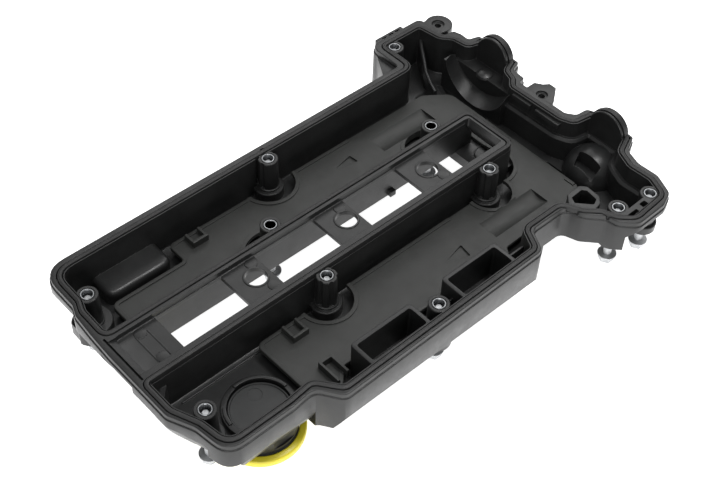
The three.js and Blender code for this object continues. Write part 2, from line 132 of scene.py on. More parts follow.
def outline(corners, move=0.0, use_own=False, steps=7):
    """A closed outline moved sideways by `move`, its corners rounded, as 2-D points."""
    side = turn(corners)
    count = len(corners)
    lines = []
    for i, corner in enumerate(corners):
        after = corners[(i + 1) % count]
        d = Vector((after[0] - corner[0], after[1] - corner[1])).normalized()
        shift = math.copysign(corner[3], move) if use_own and len(corner) > 3 else move
        lines.append((Vector((corner[0] + d.y * side * shift,
                              corner[1] - d.x * side * shift)), d))
    moved = []
    for i, (bp, bd) in enumerate(lines):
        ap, ad = lines[i - 1]
        cross = ad.x * bd.y - ad.y * bd.x
        if abs(cross) < 1e-3:
            moved.append((bp.copy(), 0.4))
            continue
        t = ((bp.x - ap.x) * bd.y - (bp.y - ap.y) * bd.x) / cross
        r = corners[i][2] + math.copysign(1, cross) * side * move
        moved.append((ap + ad * t, max(r, 0.8)))
    points = []
    for i, (v, r) in enumerate(moved):
        din = moved[i - 1][0] - v
        dout = moved[(i + 1) % count][0] - v
        half = math.acos(max(-1, min(1, din.normalized().dot(dout.normalized())))) / 2
        cut = min(r / math.tan(half), din.length * 0.48, dout.length * 0.48)
        p = v + din.normalized() * cut
        q = v + dout.normalized() * cut
        for k in range(steps + 1):
            s = k / steps
            points.append(p * (1 - s) ** 2 + v * 2 * s * (1 - s) + q * s ** 2)
    return points


def to_metres(mesh):
    mesh.transform(Matrix.Translation(DATUM) @ Matrix.Scale(0.001, 4))


def new_object(name, bm):
    bmesh.ops.recalc_face_normals(bm, faces=bm.faces)
    mesh = bpy.data.meshes.new(name)
    bm.to_mesh(mesh)
    bm.free()
    obj = bpy.data.objects.new(name, mesh)
    bpy.context.scene.collection.objects.link(obj)
    return obj


def loft(rings, name="solid"):
    """A closed body through rings of equal point count, capped at both ends."""
    bm = bmesh.new()
    rows = [[bm.verts.new(p) for p in ring] for ring in rings]
    for low, high in zip(rows, rows[1:]):
        for i in range(len(low)):
            j = (i + 1) % len(low)
            bm.faces.new((low[i], low[j], high[j], high[i]))
    bm.faces.new(list(reversed(rows[0])))
    bm.faces.new(rows[-1])
    return new_object(name, bm)


def flat(points):
    return [Vector((p[0], p[1])) for p in points]


def grown(points, offset):
    """Moves each point of a closed outline outward by a small offset."""
    side = turn(points)
    result = []
    for i, p in enumerate(points):
        d = points[(i + 1) % len(points)] - points[i - 1]
        d.normalize()
        result.append(p + Vector((d.y, -d.x)) * side * offset)
    return result


def prism(points, z0, z1, top=0.0, bottom=0.0):
    """An upright body; `top` and `bottom` round its end edges inward by that much."""
    points = flat(points)
    levels = []
    steps = 8 if max(top, bottom) > 1.5 else 3
    for k in range(steps + 1 if bottom else 1):
        a = math.pi / 2 * k / steps
        levels.append((-bottom * (1 - math.sin(a)), z0 + bottom * (1 - math.cos(a))))
    for k in range(steps + 1 if top else 1):
        a = math.pi / 2 * k / steps
        levels.append((-top * (1 - math.cos(a)), z1 - top * (1 - math.sin(a))))
    rings = [[(p.x, p.y, z) for p in grown(points, o)] for o, z in levels]
    return loft(rings)


def ring_points(x, y, r, count=40):
    return [Vector((x + r * math.cos(t), y + r * math.sin(t)))
            for t in (2 * math.pi * k / count for k in range(count))]


def post(x, y, r, z0, z1, top=0.0, bottom=0.0, count=40):
    return prism(ring_points(x, y, r, count), z0, z1, top, bottom)


def tapered(x, y, profile, count=40):
    """A turned body whose profile lists radius and height from the bottom up."""
    return loft([[(x + r * math.cos(t), y + r * math.sin(t), z)
                  for t in (2 * math.pi * k / count for k in range(count))]
                 for r, z in profile])


def barrel(x0, x1, y, z, r, count=72, soft=0.0):
    """A round body lying along X, with its end edges rounded by `soft`."""
    ends = [(x0, r - soft), (x0 + soft, r), (x1 - soft, r), (x1, r - soft)]
    if not soft:
        ends = [(x0, r), (x1, r)]
    return loft([[(x, y + q * math.cos(t), z + q * math.sin(t))
                  for t in (2 * math.pi * k / count for k in range(count))]
                 for x, q in ends])


def box(x0, x1, y0, y1, z0, z1, top=0.0, corner=0.0):
    if corner:
        points = outline([(x0, y0, corner), (x1, y0, corner), (x1, y1, corner),
                          (x0, y1, corner)], steps=4)
        return prism(points, z0, z1, top)
    return prism([(x0, y0), (x1, y0), (x1, y1), (x0, y1)], z0, z1, top)


def sweep_x(points, x0, x1):
    return loft([[(x, y, z) for y, z in points] for x in (x0, x1)])


def sweep_y(points, y0, y1):
    return loft([[(x, y, z) for x, z in points] for y in (y0, y1)])


def combine(base, steps):
    """Applies a list of (operation, bodies) to a body with the fast solid solver."""
    tools = []
    for operation, bodies in steps:
        for tool in bodies:
            modifier = base.modifiers.new("step", "BOOLEAN")
            modifier.operation = operation
            modifier.solver = "MANIFOLD"
            modifier.object = tool
            tools.append(tool)
    bpy.context.view_layer.update()
    graph = bpy.context.evaluated_depsgraph_get()
    mesh = bpy.data.meshes.new_from_object(base.evaluated_get(graph))
    base.modifiers.clear()
    base.data = mesh
    for tool in tools:
        bpy.data.objects.remove(tool)
    return base


def finish_piece(obj, name, material, body, nodes, angle=32):
    """Cleans the mesh, sets its shading, and ties the piece to the frame."""
    bm = bmesh.new()
    bm.from_mesh(obj.data)
    bmesh.ops.remove_doubles(bm, verts=bm.verts, dist=0.004)
    bmesh.ops.dissolve_degenerate(bm, edges=bm.edges, dist=0.003)
    bmesh.ops.triangulate(bm, faces=[f for f in bm.faces if len(f.verts) > 4])
    bm.to_mesh(obj.data)
    bm.free()
    obj.name = name
    obj.data.name = name
    to_metres(obj.data)
    obj.data.materials.clear()
    obj.data.materials.append(material)
    obj.data.shade_smooth()
    obj.data.set_sharp_from_angle(angle=math.radians(angle))
    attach(obj, body)
    if nodes:
        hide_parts(*nodes)
    return obj


# ------------------------------------------------------------------ materials


def node_material(name):
    material = bpy.data.materials.new(name)
    material.use_nodes = True
    tree = material.node_tree
    shader = tree.nodes["Principled BSDF"]
    coords = tree.nodes.new("ShaderNodeTexCoord")
    return material, tree, shader, coords


def noise(tree, coords, scale, detail=4.0, roughness=0.6):
    node = tree.nodes.new("ShaderNodeTexNoise")
    node.inputs["Scale"].default_value = scale
    node.inputs["Detail"].default_value = detail
    node.inputs["Roughness"].default_value = roughness
    tree.links.new(coords.outputs["Object"], node.inputs["Vector"])
    return node


def ramp(tree, source, stops):
    node = tree.nodes.new("ShaderNodeValToRGB")
    elements = node.color_ramp.elements
    while len(elements) < len(stops):
        elements.new(0.5)
    for element, (position, value) in zip(elements, stops):
        element.position = position
        colour = value if isinstance(value, tuple) else (value, value, value)
        element.color = (*colour, 1)
    tree.links.new(source, node.inputs["Fac"])
    return node


def moulded(name, dark, light, rough, grain, grain_scale=2600, edge=0.0, radius=0.0004,
            specular=0.5):
    """Moulded polymer: soft tone drift, fine grain in the bump, rubbed edges."""
    material, tree, shader, coords = node_material(name)
    links = tree.links
    drift = noise(tree, coords, 38, 5)
    tone = ramp(tree, drift.outputs["Fac"], [(0.32, dark), (0.7, light)])
    bevel = tree.nodes.new("ShaderNodeBevel")
    bevel.samples = 4
    bevel.inputs["Radius"].default_value = radius
    geometry = tree.nodes.new("ShaderNodeNewGeometry")
    dot = tree.nodes.new("ShaderNodeVectorMath")
    dot.operation = "DOT_PRODUCT"
    links.new(bevel.outputs["Normal"], dot.inputs[0])
    links.new(geometry.outputs["Normal"], dot.inputs[1])
    wear = ramp(tree, dot.outputs["Value"], [(0.72, 1.0), (0.985, 0.0)])
    mix = tree.nodes.new("ShaderNodeMix")
    mix.data_type = "RGBA"
    factor = tree.nodes.new("ShaderNodeMath")
    factor.operation = "MULTIPLY"
    factor.inputs[1].default_value = edge
    links.new(wear.outputs["Color"], factor.inputs[0])
    links.new(factor.outputs["Value"], mix.inputs["Factor"])
    links.new(tone.outputs["Color"], mix.inputs[6])
    mix.inputs[7].default_value = (*(c * 2.2 + 0.02 for c in light), 1)
    links.new(mix.outputs[2], shader.inputs["Base Color"])
    patches = noise(tree, coords, 120, 6, 0.7)
    polish = ramp(tree, patches.outputs["Fac"], [(0.3, rough - 0.06), (0.72, rough + 0.08)])
    links.new(polish.outputs["Color"], shader.inputs["Roughness"])
    fine = noise(tree, coords, grain_scale, 3, 0.6)
    bump = tree.nodes.new("ShaderNodeBump")
    bump.inputs["Strength"].default_value = grain
    bump.inputs["Distance"].default_value = 0.0002
    links.new(fine.outputs["Fac"], bump.inputs["Height"])
    links.new(bevel.outputs["Normal"], bump.inputs["Normal"])
    links.new(bump.outputs["Normal"], shader.inputs["Normal"])
    shader.inputs["Specular IOR Level"].default_value = specular
    return material


def metal(name, dark, light, rough, turned=False):
    """Plated or turned steel with fine scratches and dull patches."""
    material, tree, shader, coords = node_material(name)
    links = tree.links
    drift = noise(tree, coords, 260, 6, 0.65)
    tone = ramp(tree, drift.outputs["Fac"], [(0.3, dark), (0.7, light)])
    links.new(tone.outputs["Color"], shader.inputs["Base Color"])
    shader.inputs["Metallic"].default_value = 1.0
    polish = ramp(tree, noise(tree, coords, 700, 4).outputs["Fac"],
                  [(0.3, rough - 0.07), (0.7, rough + 0.12)])
    links.new(polish.outputs["Color"], shader.inputs["Roughness"])
    wave = tree.nodes.new("ShaderNodeTexWave")
    wave.wave_type = "BANDS"
    wave.bands_direction = "Z"
    wave.inputs["Scale"].default_value = 420 if turned else 900
    wave.inputs["Distortion"].default_value = 2.0 if turned else 6.0
    links.new(coords.outputs["Object"], wave.inputs["Vector"])
    bump = tree.nodes.new("ShaderNodeBump")
    bump.inputs["Strength"].default_value = 0.12
    bump.inputs["Distance"].default_value = 0.0001
    links.new(wave.outputs["Color"], bump.inputs["Height"])
    links.new(bump.outputs["Normal"], shader.inputs["Normal"])
    return material


COVER = moulded("cover_nylon", (0.011, 0.0113, 0.0113), (0.019, 0.0194, 0.0194), 0.36, 0.2,
                edge=0.4, radius=0.0005)
BAFFLE = moulded("baffle_nylon", (0.023, 0.024, 0.0225), (0.031, 0.032, 0.030), 0.52, 0.2,
                 edge=0.2)
GASKET = moulded("gasket_rubber", (0.010, 0.010, 0.010), (0.018, 0.018, 0.018), 0.5, 0.3,
                 grain_scale=1500, edge=0.1, radius=0.0003)
CAP_BLACK = moulded("cap_nylon", (0.020, 0.021, 0.021), (0.030, 0.031, 0.031), 0.5, 0.25,
                    edge=0.2)
CAP_YELLOW = moulded("cap_yellow", (0.78, 0.66, 0.03), (0.88, 0.76, 0.05), 0.34, 0.12,
                     edge=0.12)
SEAL_BLACK = moulded("seal_rubber", (0.007, 0.007, 0.007), (0.012, 0.012, 0.012), 0.5, 0.3,
                     grain_scale=1500)
SLEEVE_STEEL = metal("sleeve_steel", (0.26, 0.27, 0.28), (0.42, 0.43, 0.44), 0.34, True)
BOLT_STEEL = metal("bolt_zinc", (0.48, 0.49, 0.50), (0.68, 0.69, 0.70), 0.5)

# ------------------------------------------------------------------ cover shell


def under_cut(axis, wall, roof, high, span, inset=0.0, angle=0.0, at=(0, 0)):
    """A cutter that leans the lower part of a wall inward, down to `roof`.

    The profile is swept along an axis, then turned about Z and moved to `at`.
    """
    sign = 1 if roof > wall else -1
    low = FLOOR_OUT
    points = [(wall - 14 * sign, high + 0.02), (wall - 0.02 * sign + inset * sign, high)]
    for k in range(1, 9):
        t = k / 8
        x = wall + (roof - wall) * t ** 1.16
        points.append((x + inset * sign, high + (low - high) * t))
    points.append((roof + inset * sign, low - 6))
    points.append((wall - 14 * sign, low - 6))
    body = sweep_x(points, *span) if axis == "x" else sweep_y(points, *span)
    spin = Matrix.Rotation(angle, 4, "Z")
    body.data.transform(Matrix.Translation((at[0], at[1], 0)) @ spin)
    return body


def corner_edges(inset):
    """The two leaning faces of the corner beside the filler."""
    return [
        under_cut("x", 0, 9.2, -20, (-30, 30), inset, -1.179, (4.2, -57.4)),
        under_cut("x", 0, 10.8, -12, (-30, 20), inset, -1.24, (-5.9, -37)),
    ]


def lower_edges(inset):
    """Cutters for every leaning wall, and for the raised step under the hexagon tube."""
    return corner_edges(inset) + [
        under_cut("x", 117, 106.6, -20, (-30, 318), inset),
        under_cut("x", -88.9, -81.6, -22, (60, 262), inset),
        under_cut("x", -74.6, -66.3, -17, (-20, 69), inset),
        under_cut("x", -115, -81.4, -6, (322, 400), inset),
        under_cut("y", -5, 6.4, -6, (76, 130), inset),
        under_cut("y", -10.6, 1.2, -6, (36, 76.1), inset),
        under_cut("y", -10.6, 0.2, -10, (-100, 10), inset),
        under_cut("x", 0, 0.4, -12, (-10, 14), inset, -2.356, (0, -7.6)),
        box(283 - inset, 322.5, -120, -64 + inset, FLOOR_OUT - 4, -27 + inset),
    ]


def dome(y, x0, x1, r, top):
    solid = barrel(x0, x1, y, 0, r, soft=2.5)
    return combine(solid, [("DIFFERENCE", [box(300, 400, -140, 160, top, 60)])])


def shell_body():
    rim = outline(RIM)
    band = prism(rim, LEDGE_Z - 2, 0, top=0.7)
    skirt = prism(outline(RIM, 0.8), FLOOR_OUT, LEDGE_Z, top=0.7, bottom=1.2)
    wedge = prism([(300, 112), (320.5, 146), (320.5, 112)], -27, LEDGE_Z - 0.3, top=0.4)
    lip = prism([(322, 146), (327, 152.6), (354, 152.6), (354, 146)], -9, -2.6, top=0.5)
    neck = post(*CAP, COLLAR_R, -45, FLOOR_IN, bottom=0.6, count=72)
    domes = [dome(y, 325, 358, 47.6, -20) for y in CAM_Y]
    return combine(skirt, [("UNION", [band, wedge, lip, neck] + domes),
                           ("DIFFERENCE", lower_edges(0))])


def shell_room():
    room = prism(outline(SEAL, -LAND, True), FLOOR_IN, 2, bottom=0.8)
    domes = [dome(y, 327.6, 355.4, 44.8, -19) for y in CAM_Y]
    return combine(room, [("DIFFERENCE", lower_edges(WALL)), ("UNION", domes)])


def valley():
    """Recess, windows, plug holes and the open channel under the deck."""
    x0, x1 = SLOT_X
    y0, y1 = SLOT_Y
    tools = [sweep_y([(x1 - 1.5, DECK_BOTTOM), (x1, -8.5), (328, -28.7), (305, -28.7),
                      (305, -42), (-30, -42), (-30, DECK_BOTTOM)], y0 + 0.2, y1 - 0.2),
             sweep_x([(y0 - 7.8, -37.2), (y0, -29.2), (y1, -29.2), (y1 + 7.8, -37.2),
                      (y1 + 7.8, -42), (y0 - 7.8, -42)], -30, 305)]
    recess = outline([(x0, y0, 2.5), (x1, y0, 5), (x1, y1, 5), (x0, y1, 2.5)])
    tools.append(prism(recess, DECK_TOP, 3, bottom=0.5))
    tools.append(sweep_y([(-3.4, 2), (-3.4, -0.7), (5.2, DECK_TOP), (8, DECK_TOP), (8, 2)],
                         y0 + 0.3, y1 - 0.3))
    tools.append(box(-5.0, -3.5, 1.5, 43, -2.6, 2, corner=0.6))
    for a, b in WINDOWS:
        tools.append(box(a, b, y0 + 0.5, y1 - 0.5, -9, 2, corner=1.2))
    for x, y in PLUG_HOLES:
        tools.append(post(x, y, PLUG_HOLE_R, -9, 2, count=56))
        tools.append(post(x, y, 9.0, DECK_TOP - 0.5, 2, count=56))
    return tools


def deck_details():
    """Round marks, hole collars and fine raised lines in the plug valley."""
    adds = []
    for x, y in ((17, 34.4), (17, 10.4), (106, 34.6), (106, 10.4), (184, 34.4), (262, 11)):
        adds.append(post(x, y, 4.3, DECK_TOP - 1, DECK_TOP + 0.45, top=0.3, count=36))
    for x, y in PLUG_HOLES:
        collar = post(x, y, 8.9, DECK_TOP - 2, DECK_TOP + 0.5, top=0.25, count=56)
        hole = post(x, y, PLUG_HOLE_R, -12, 2, count=56)
        adds.append(combine(collar, [("DIFFERENCE", [hole])]))
    for x in (12.4, 21.6):
        adds.append(box(x, x + 1.0, 9, 34, DECK_TOP - 1, DECK_TOP + 0.35, top=0.15))
    adds.append(box(236, 241, 36.4, 40, -29, -24.4, top=0.3))
    arc = post(322, 22, 10, -29, -28.0, top=0.15, count=64)
    adds.append(combine(arc, [("DIFFERENCE", [post(322, 22, 9.2, -40, 0, count=64)]),
                              ("INTERSECT", [box(306, 327, 8, 38, -30, -20)])]))
    return adds


def half_moons():
    return [barrel(382, 390.9, CAM_Y[0], MOON_Z, MOON_R, soft=0.5, count=96),
            barrel(384.2, 392.4, CAM_Y[1], MOON_Z, MOON_R, soft=0.5, count=96)]


def moon_ring(r0, r1, half):
    rings = []
    for x, y in ((386.6, CAM_Y[0]), (388.2, CAM_Y[1])):
        ring = barrel(x - half, x + half, y, MOON_Z, r1, count=96)
        rings.append(combine(ring, [
            ("DIFFERENCE", [barrel(x - half - 1, x + half + 1, y, MOON_Z, r0, count=96)])]))
    return rings


def bowl():
    """The cone-sided saddle over the far cam phaser."""
    rings = []
    for x, y, z, r in ((350, 69.6, -1.6, 31.3), (355.6, 71.2, 0.6, 31.9),
                       (369.5, 75.3, 6.2, 33.8)):
        rings.append([(x, y + r * math.cos(t), z + r * math.sin(t))
                      for t in (2 * math.pi * k / 120 for k in range(120))])
    return loft(rings)


def sloped_rib(path, half, low):
    """An upright rib with a round top edge, along points of x, y and top height."""
    rings = []
    for i, (x, y, top) in enumerate(path):
        ahead = Vector(path[min(i + 1, len(path) - 1)][:2])
        d = (ahead - Vector(path[max(i - 1, 0)][:2])).normalized()
        ring = [(x - d.y * half, y + d.x * half, low)]
        for k in range(9):
            a = math.pi * k / 8
            w = half * math.cos(a)
            ring.append((x - d.y * w, y + d.x * w, top - half * (1 - math.sin(a))))
        ring.append((x + d.y * half, y - d.x * half, low))
        rings.append(ring)
    return loft(rings)


def chain_end():
    """Stepped end wall, cam phaser saddle, curved rib and the near bulge."""
    block = box(355.6, 390, 41.6, 105, FLOOR_IN - 1, -7, top=0.6)
    shelf_room = box(369.5, 392, 44, 106, -13.5, 2)
    knob = tapered(373.4, 76, [(7, -14.5), (6.2, -12.6), (4.2, -11.4), (1.5, -10.8)])
    block = combine(block, [("DIFFERENCE", [shelf_room, bowl()]), ("UNION", [knob])])
    shelf = prism(outline(RIM, -0.4), FLOOR_IN - 1, -13.6)
    inside = outline(SEAL, -LAND - 4.0)
    cut = prism(inside, FLOOR_IN - 2, 0)
    slant = loft([[(p.x, p.y, z) for p in grown(inside, o)]
                  for o, z in ((0, -15.4), (3.6, -11.6), (3.6, 0))])
    keep = box(345, 400, -96, 46, -60, 20)
    shelf = combine(shelf, [("DIFFERENCE", [cut, slant]), ("INTERSECT", [keep])])
    ledges = [box(361.6, 368, 20, 38, -6, -2.4, top=0.5),
              box(361.6, 368, -8, 15, -6, -2.6, top=0.5)]
    rib = sloped_rib([(362, 137, -9.5), (357, 130.2, -11), (351, 121, -14.4),
                      (345, 112.5, -18), (341.4, 103, -21.6), (339.3, 95.4, -24.4)], 1.5,
                     FLOOR_IN - 1)
    profile = [(21.5 * math.cos(a), -34 + 21.5 * math.sin(a))
               for a in (math.pi / 2 * k / 14 for k in range(14))]
    bulge = tapered(372, -38, [(21.5, FLOOR_IN - 1)] + profile, count=72)
    pocket = prism(outline([(355.6, -50, 1), (365.4, -50, 1), (365.4, -28.8, 1),
                            (355.6, -32.6, 1)], steps=4), -25.5, 0)
    bulge = combine(bulge, [("DIFFERENCE", [pocket])])
    under = box(303, 336, 2, 43, FLOOR_IN - 2.9, -28.2)
    return [block, shelf, rib, bulge, under] + ledges


def bosses():
    """A pillar round each sleeve, some with a wide cup at the foot."""
    solids = []
    for name, (x, y) in BOLTS.items():
        low = -33 if name in "jk" else SEAT_Z - 0.6
        solids.append(tapered(x, y, [(BOSS_R + 0.5, low), (BOSS_R, -5), (BOSS_R, -0.7),
                                     (BOSS_R - 0.5, -0.2)]))
        if name in "abefgh":
            cup = 13.6 if name == "b" else 11
            solids.append(tapered(x, y, [(cup, FLOOR_OUT), (cup, CUP_Z - 0.6),
                                         (cup - 0.6, CUP_Z), (9.2, CUP_Z)]))
            solids.append(tapered(x, y, [(8.6, CUP_Z - 1), (8.4, CUP_Z + 1.4),
                                         (BOSS_R, CUP_Z + 2.2)]))
        else:
            solids.append(tapered(x, y, [(9.8, low), (9.8, CUP_Z - 0.6), (9.2, CUP_Z)]))
    return solids


def fluted(x, y):
    """Vertical flutes down the chamber side of the tall pillars."""
    tools = []
    away = math.copysign(1, 22 - y)
    for k in range(6):
        a = 2 * math.pi * (k + 0.25) / 6
        if math.sin(a) * away > 0.3:
            continue
        tools.append(post(x + 8.6 * math.cos(a), y + 8.6 * math.sin(a), 2.3,
                          CUP_Z + 2.4, 2, count=20))
    return tools


def bolt_bores():
    """Bores for the sleeves and the wider pockets for the bolt heads."""
    tools = []
    for x, y in BOLTS.values():
        tools.append(post(x, y, 4.75, -60, 3, count=36))
        tools.append(post(x, y, 8.4, -60, SEAT_Z, count=44))
        tools.append(post(x, y, 5.3, -0.75, 3, count=36))
    return tools


def near_wall():
    """Wells, cell ribs, the hexagon tube and the pocketed land of the near wall."""
    adds = [
        box(109.6, 161.8, -80, -58.6, FLOOR_IN - 1, -3, top=0.7, corner=3),
        box(191, 241.6, -80, -57.4, FLOOR_IN - 1, -3, top=0.7, corner=3),
        box(241, 258, -71, -69.4, FLOOR_IN - 1, -8, top=0.3),
        box(161, 171, -70, -68.4, FLOOR_IN - 1, -12, top=0.3),
        box(177, 192, -70, -68.4, FLOOR_IN - 1, -12, top=0.3),
    ]
    hexagon = [(304.6, -68.4, 1), (311.3, -61.4, 2), (323.9, -60.9, 3), (328, -65.4, 3),
               (327, -77.4, 3), (322, -82.6, 2), (312.6, -84.4, 1)]
    adds.append(prism(outline(hexagon, steps=5), -27, -0.2, top=0.6))
    land = [(318, -96), (322, -98.6), (362, -97.6), (364, -107), (320, -109)]
    adds.append(prism(land, -14, -0.2, top=0.4))
    for x in (109.6, 191):
        adds.append(sweep_y([(x - 8, FLOOR_IN), (x + 1, FLOOR_IN), (x + 1, -4), (x, -4)],
                            -79, -77.4))
    cuts = [
        box(112.6, 158.8, -77.8, -61.6, -31, 2, corner=2),
        box(194, 238.6, -77.8, -60.4, -31, 2, corner=2),
        prism(outline([(308.8, -70.4, 1), (311, -65.6, 1.5), (322.2, -65, 1.5),
                       (324.4, -68.2, 1.5), (323, -78, 1.5), (317.9, -80.2, 1.5)],
                      steps=4), -24, 2),
        box(324, 337, -105, -102, -9, 2, corner=0.8),
        box(342, 347.6, -104.4, -100.4, -9, 2, corner=0.8),
    ]
    return adds, cuts


def ears():
    """The round and the angular lug, with their holes and the nicks beside them."""
    upper = combine(post(377.4, 132.8, 11, -8, -0.1, top=0.6, bottom=0.4, count=56),
                    [("UNION", [box(368, 378, 123, 142.4, -8, -0.3)])])
    angular = [(371, 8, 1), (378, 10.6, 4), (390.4, 19.6, 1.4), (390.4, 26, 1.4),
               (386, 29, 2), (382.4, 34.6, 1.4), (371, 34.6, 1)]
    lower = prism(outline(angular, steps=4), -8, -0.1, top=0.5, bottom=0.4)
    cuts = []
    for x, y, r in ((376.6, 132.8, 5.2), (376.4, 21.4, 4.6)):
        cuts.append(post(x, y, 2.6, -9, 1, count=32))
        cuts.append(tapered(x, y, [(r - 0.6, -1.8), (r, -1.2), (r, 1)]))
    cuts.append(post(379.6, 38.8, 4.4, -60, 1, count=36))
    for x in (332, 339, 346):
        cuts.append(box(x, x + 4.6, 148.6, 150.6, -7, 0, corner=0.6))
    return [upper, lower], cuts


def filler_ring():
    """The collar around the filler with its bayonet steps, and the line beside it."""
    x, y = CAP
    ridge = box(16, 81, -7.5, -6.1, FLOOR_IN - 1, -33.3, top=0.4)
    ring = post(x, y, COLLAR_R, FLOOR_IN - 1, -29.6, top=0.5, count=88)
    inner = post(x, y, FILLER_R, -62, -28, count=88)
    ring = combine(ring, [("DIFFERENCE", [inner])])
    steps = []
    for a0, a1 in ((0.05, 1.72), (2.5, 3.1), (4.2, 4.9)):
        points = []
        for k in range(25):
            a = a0 + (a1 - a0) * k / 24
            points.append(Vector((x + 23.4 * math.cos(a), y + 23.4 * math.sin(a))))
        for k in range(25):
            a = a1 + (a0 - a1) * k / 24
            points.append(Vector((x + 20.95 * math.cos(a), y + 20.95 * math.sin(a))))
        steps.append(prism(points, -31, -28.4, top=0.3))
    return [ring, ridge] + steps


def groove_cut():
    """The bead groove, which climbs over both half-moon plugs."""
    cut = prism(outline(SEAL, GROOVE), GROOVE_Z, 2)
    keep = prism(outline(SEAL, -GROOVE), GROOVE_Z - 1, 3)
    moons = [barrel(380, 394, y, MOON_Z, MOON_R + 0.01, count=96) for y in CAM_Y]
    groove = combine(cut, [("DIFFERENCE", [keep] + moons)])
    return [groove] + moon_ring(MOON_R - 2.2, MOON_R + 4, GROOVE)


def cover_shell():
    """The whole moulding: walls and roof, inner features, then every cut."""
    hump = prism(outline([(27, 85, 9), (79, 85, 9), (79, 116, 3), (27, 116, 3)]),
                 FLOOR_IN - 1, -22.4, top=4.5)
    near_adds, near_cuts = near_wall()
    limit = prism(outline(RIM, -0.4), -60, 0.5)
    inside = chain_end() + near_adds + bosses() + filler_ring() + [hump]
    inner = combine(inside[0], [("UNION", inside[1:]), ("INTERSECT", [limit]),
                                ("DIFFERENCE", corner_edges(0))])
    ear_adds, ear_cuts = ears()
    shell = combine(shell_body(), [
        ("DIFFERENCE", [shell_room()]),
        ("UNION", [inner] + half_moons() + ear_adds),
        ("DIFFERENCE", valley() + groove_cut() + bolt_bores() + near_cuts + ear_cuts),
        ("DIFFERENCE", [post(*CAP, FILLER_R, -60, -28, count=88)]),
        ("UNION", deck_details()),
    ])
    for name in "aef":
        combine(shell, [("DIFFERENCE", fluted(*BOLTS[name]))])
    return shell


finish_piece(cover_shell(), "visual_cover_shell", COVER, "cover", ["cover_shell"])

# ------------------------------------------------------------------ gasket


def gasket():
    """The rubber loop: a round-shouldered bead with a fine centre ridge."""
    points = outline(SEAL, 0, steps=9)
    profile = [(1.6, GROOVE_Z + 0.3), (1.6, 0.2), (1.35, 0.7), (0.9, 0.85), (0.5, 0.8),
               (0.0, 1.0), (-0.5, 0.8), (-0.9, 0.85), (-1.35, 0.7), (-1.6, 0.2),
               (-1.6, GROOVE_Z + 0.3)]
    bm = bmesh.new()
    rows = [[bm.verts.new((p.x, p.y, z)) for p in grown(points, o)] for o, z in profile]
    count = len(points)
    for row, after in zip(rows, rows[1:] + rows[:1]):
        for i in range(count):
            j = (i + 1) % count
            bm.faces.new((row[i], row[j], after[j], after[i]))
    loop = new_object("loop", bm)
    moons = [barrel(380, 394, y, MOON_Z, MOON_R + 0.4, count=96) for y in CAM_Y]
    arcs = moon_ring(MOON_R - 1.9, MOON_R + 0.8, 1.5)
    arcs = [combine(arc, [("DIFFERENCE", [box(378, 396, -60, 100, -40, GROOVE_Z + 0.3)])])
            for arc in arcs]
    return combine(loop, [("DIFFERENCE", moons), ("UNION", arcs)])


finish_piece(gasket(), "visual_gasket", GASKET, "cover", ["perimeter_gasket"],
             angle=40)

# ------------------------------------------------------------------ baffle plate

PLATE = [
    (24.6, 81.6, 6), (84.6, 81.6, 3), (84.6, 99.7, 5), (328.4, 99.4, 9), (347, 85.6, 9),
    (346.4, -44, 4), (342, -52, 2), (262, -54, 3), (258, -60, 3), (246, -60, 2),
    (246, -56.6, 1), (108, -56.6, 1), (90, -74.6, 4), (84, -74.6, 3), (76, -52, 6),
    (75.4, -6.9, 6), (324.4, -7.6, 18), (324.4, 48.4, 3), (24.6, 48.4, 2),
]


CUT_OUTS = (
    (*BOLTS["a"], 19.4), (*BOLTS["f"], 18.6), (291, -9.4, 16.3), (310.6, 10.8, 18.7),
    (136.9, 46.2, 22), (291.8, 52.1, 19.6),
)
TROUGH_Y = (80.5, -34.5)
TROUGH_R = 13.4
TROUGH_DEPTH = 3.0


def plate_holes(extra, z0, z1):
    return [post(x, y, r + extra, z0, z1, count=88) for x, y, r in CUT_OUTS]


def ramps():
    """Shallow three-cornered hollows that deepen towards the chain end."""
    low, high = BAFFLE_TOP - 1.6, BAFFLE_TOP + 0.3
    tools = []
    for corners in (((218.2, -36.4), (238.8, -31.6), (237, -42.9)),
                    ((221.7, 81.6), (240.1, 85.3), (241, 77.1))):
        slope = sweep_y([(216, high), (241.5, low), (241.5, 2), (216, 2)],
                        corners[0][1] - 12, corners[0][1] + 12)
        area = prism(outline([(*c, 0.8) for c in corners], steps=4), -40, 0)
        tools.append(combine(area, [("INTERSECT", [slope])]))
    return tools


